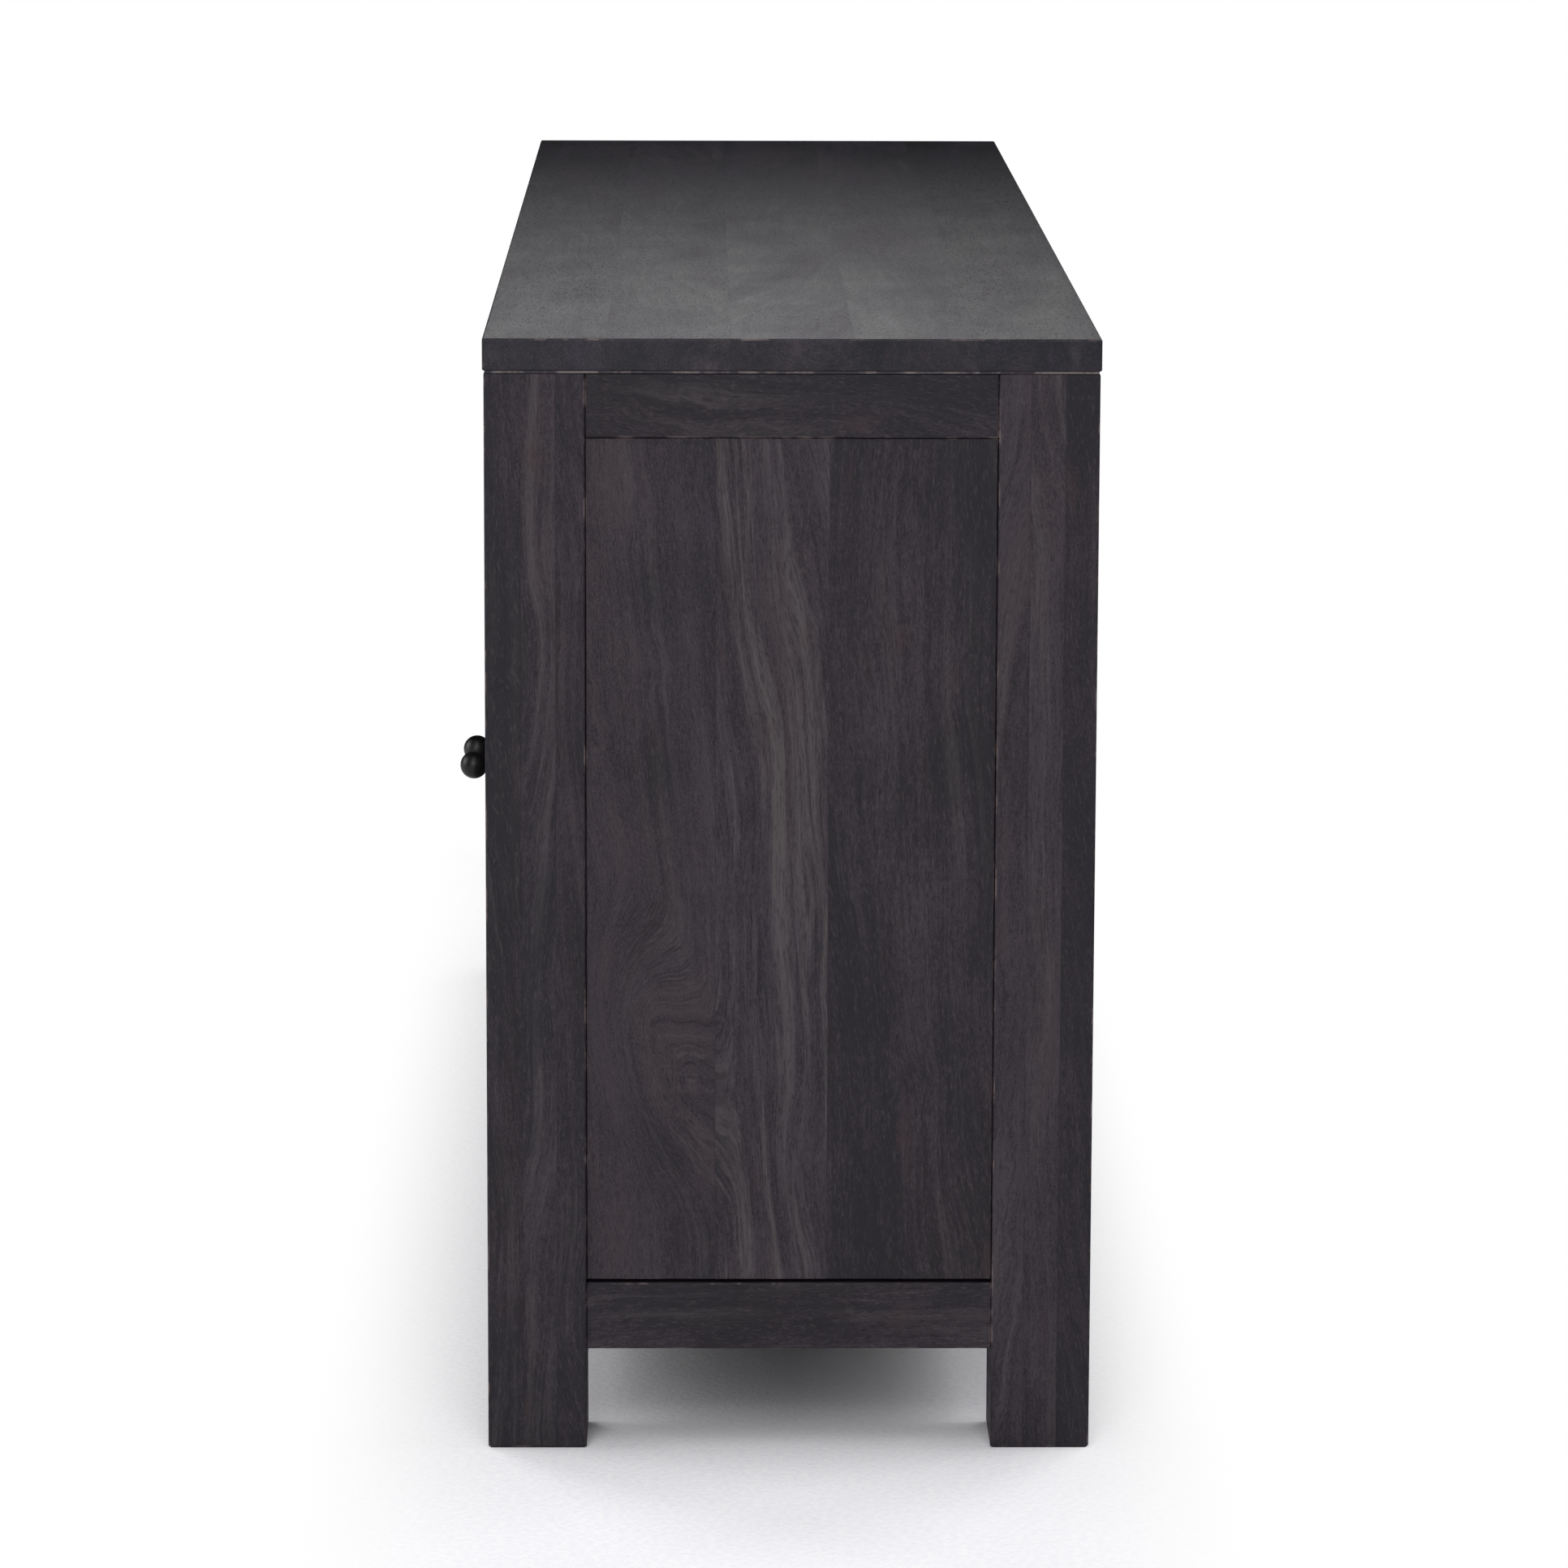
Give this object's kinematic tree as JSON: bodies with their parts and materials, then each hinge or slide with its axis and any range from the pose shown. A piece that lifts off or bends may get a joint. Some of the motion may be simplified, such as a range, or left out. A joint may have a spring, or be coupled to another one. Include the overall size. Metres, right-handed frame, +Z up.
{
  "type": "dresser with drawers",
  "caption": "Long low dark-stained wood dresser with corner posts and panelled ends, cupboard doors on pivots either side of a stack of drawers.",
  "frame": {"origin": "on the floor, at the middle of the overall box with the knobs included", "axes": "+X along the length towards the dresser's right end as it is faced, +Y from the front to the back, so the doors and drawers face -Y, +Z up"},
  "size_m": [1.83, 0.49, 0.85],
  "materials": {
    "stained_wood": "charcoal stained open-grain hardwood, matt lacquer, worn pale at the edges",
    "top_wood": "charcoal stained hardwood board, satin lacquer",
    "inner_wood": "charcoal stained hardwood, thin matt lacquer",
    "drawer_wood": "clear matt lacquered hardwood",
    "knob_metal": "black satin",
    "pivot_steel": "zinc plated"
  },
  "bodies": {
    "carcass": {"top_slab": "top_wood", "post_front_left": "stained_wood", "post_back_left": "stained_wood", "post_front_right": "stained_wood", "post_back_right": "stained_wood", "end_rail_top_left": "stained_wood", "end_rail_bottom_left": "stained_wood", "end_rail_top_right": "stained_wood", "end_rail_bottom_right": "stained_wood", "front_rail_top": "stained_wood", "front_rail_bottom": "stained_wood", "back_rail_top": "stained_wood", "back_rail_bottom": "stained_wood", "end_panel_left": "stained_wood", "end_panel_right": "stained_wood", "back_panel": "inner_wood", "floor_panel": "inner_wood", "partition_left": "inner_wood", "partition_right": "inner_wood", "shelf_left": "inner_wood", "shelf_right": "inner_wood", "runner_1_left": "drawer_wood", "runner_1_right": "drawer_wood", "runner_2_left": "drawer_wood", "runner_2_right": "drawer_wood", "runner_3_left": "drawer_wood", "runner_3_right": "drawer_wood"},
    "door_left_outer": {"door_left_outer_frame": "stained_wood", "door_left_outer_panel": "stained_wood", "door_left_outer_knob": "knob_metal", "door_left_outer_pivot_top": "pivot_steel", "door_left_outer_pivot_bottom": "pivot_steel"},
    "door_left_inner": {"door_left_inner_frame": "stained_wood", "door_left_inner_panel": "stained_wood", "door_left_inner_knob": "knob_metal", "door_left_inner_pivot_top": "pivot_steel", "door_left_inner_pivot_bottom": "pivot_steel"},
    "door_right_inner": {"door_right_inner_frame": "stained_wood", "door_right_inner_panel": "stained_wood", "door_right_inner_knob": "knob_metal", "door_right_inner_pivot_top": "pivot_steel", "door_right_inner_pivot_bottom": "pivot_steel"},
    "door_right_outer": {"door_right_outer_frame": "stained_wood", "door_right_outer_panel": "stained_wood", "door_right_outer_knob": "knob_metal", "door_right_outer_pivot_top": "pivot_steel", "door_right_outer_pivot_bottom": "pivot_steel"},
    "drawer_1": {"drawer_1_front": "stained_wood", "drawer_1_box": "drawer_wood", "drawer_1_base": "drawer_wood", "drawer_1_knob": "knob_metal"},
    "drawer_2": {"drawer_2_front": "stained_wood", "drawer_2_box": "drawer_wood", "drawer_2_base": "drawer_wood", "drawer_2_knob": "knob_metal"},
    "drawer_3": {"drawer_3_front": "stained_wood", "drawer_3_box": "drawer_wood", "drawer_3_base": "drawer_wood", "drawer_3_knob": "knob_metal"}
  },
  "joints": [
    {"name": "door_left_outer_hinge", "type": "hinge", "parent": "carcass", "child": "door_left_outer", "pos_m": [-0.8225, -0.206, 0.45275], "axis": [0, 0, -1], "range_deg": [0, 110]},
    {"name": "door_left_inner_hinge", "type": "hinge", "parent": "carcass", "child": "door_left_inner", "pos_m": [-0.2565, -0.206, 0.45275], "axis": [0, 0, 1], "range_deg": [0, 90]},
    {"name": "door_right_inner_hinge", "type": "hinge", "parent": "carcass", "child": "door_right_inner", "pos_m": [0.2565, -0.206, 0.45275], "axis": [0, 0, -1], "range_deg": [0, 90]},
    {"name": "door_right_outer_hinge", "type": "hinge", "parent": "carcass", "child": "door_right_outer", "pos_m": [0.8225, -0.206, 0.45275], "axis": [0, 0, 1], "range_deg": [0, 110]},
    {"name": "drawer_1_slide", "type": "slide", "parent": "carcass", "child": "drawer_1", "axis": [0, -1, 0], "range_m": [0, 0.33]},
    {"name": "drawer_2_slide", "type": "slide", "parent": "carcass", "child": "drawer_2", "axis": [0, -1, 0], "range_m": [0, 0.33]},
    {"name": "drawer_3_slide", "type": "slide", "parent": "carcass", "child": "drawer_3", "axis": [0, -1, 0], "range_m": [0, 0.33]}
  ]
}
